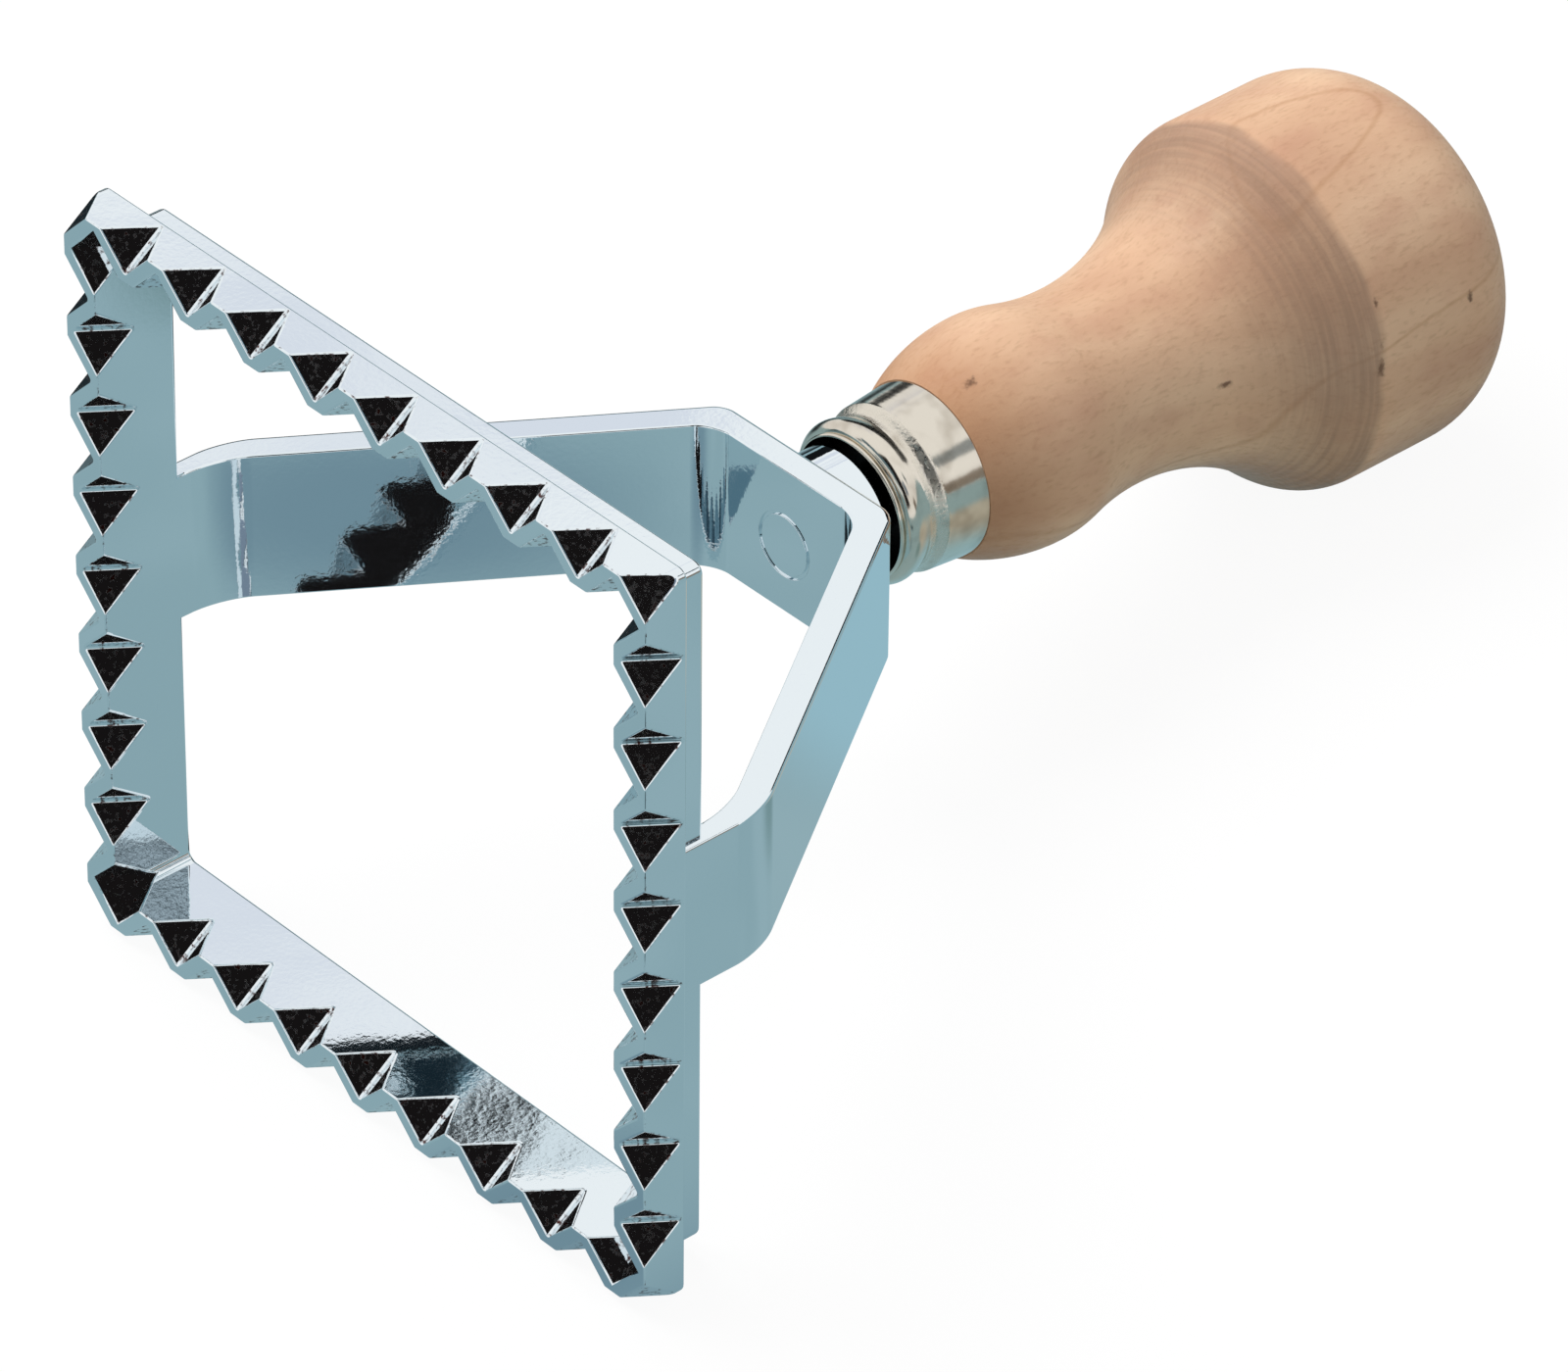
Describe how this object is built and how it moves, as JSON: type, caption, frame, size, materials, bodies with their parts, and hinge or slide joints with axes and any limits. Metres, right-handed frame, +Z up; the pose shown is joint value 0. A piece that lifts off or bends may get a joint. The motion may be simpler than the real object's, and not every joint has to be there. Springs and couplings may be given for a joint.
{
  "type": "ravioli stamp",
  "caption": "Square ravioli stamp lying on its side: zigzag-edged cast ring on a bent yoke, metal ferrule and turned wooden handle; presses and cuts filled pasta.",
  "frame": {"origin": "centre of the bounding box in X and Y, on the surface that the stamp lies on", "axes": "+Y runs from the cutting face towards the knob, +Z is up, +X runs across the ring from one leg of the yoke to the other; the handle's axis dips 9.90 degrees below +Y towards the knob"},
  "size_m": [0.075, 0.1308, 0.0747],
  "materials": {
    "cutter_head": "bright chrome plating on a zinc casting",
    "ferrule": "bright nickel plating on rolled sheet steel",
    "handle": "sanded light beech"
  },
  "bodies": {
    "root": {"cutter_head": "cutter_head", "ferrule": "ferrule", "handle": "handle"}
  },
  "joints": []
}
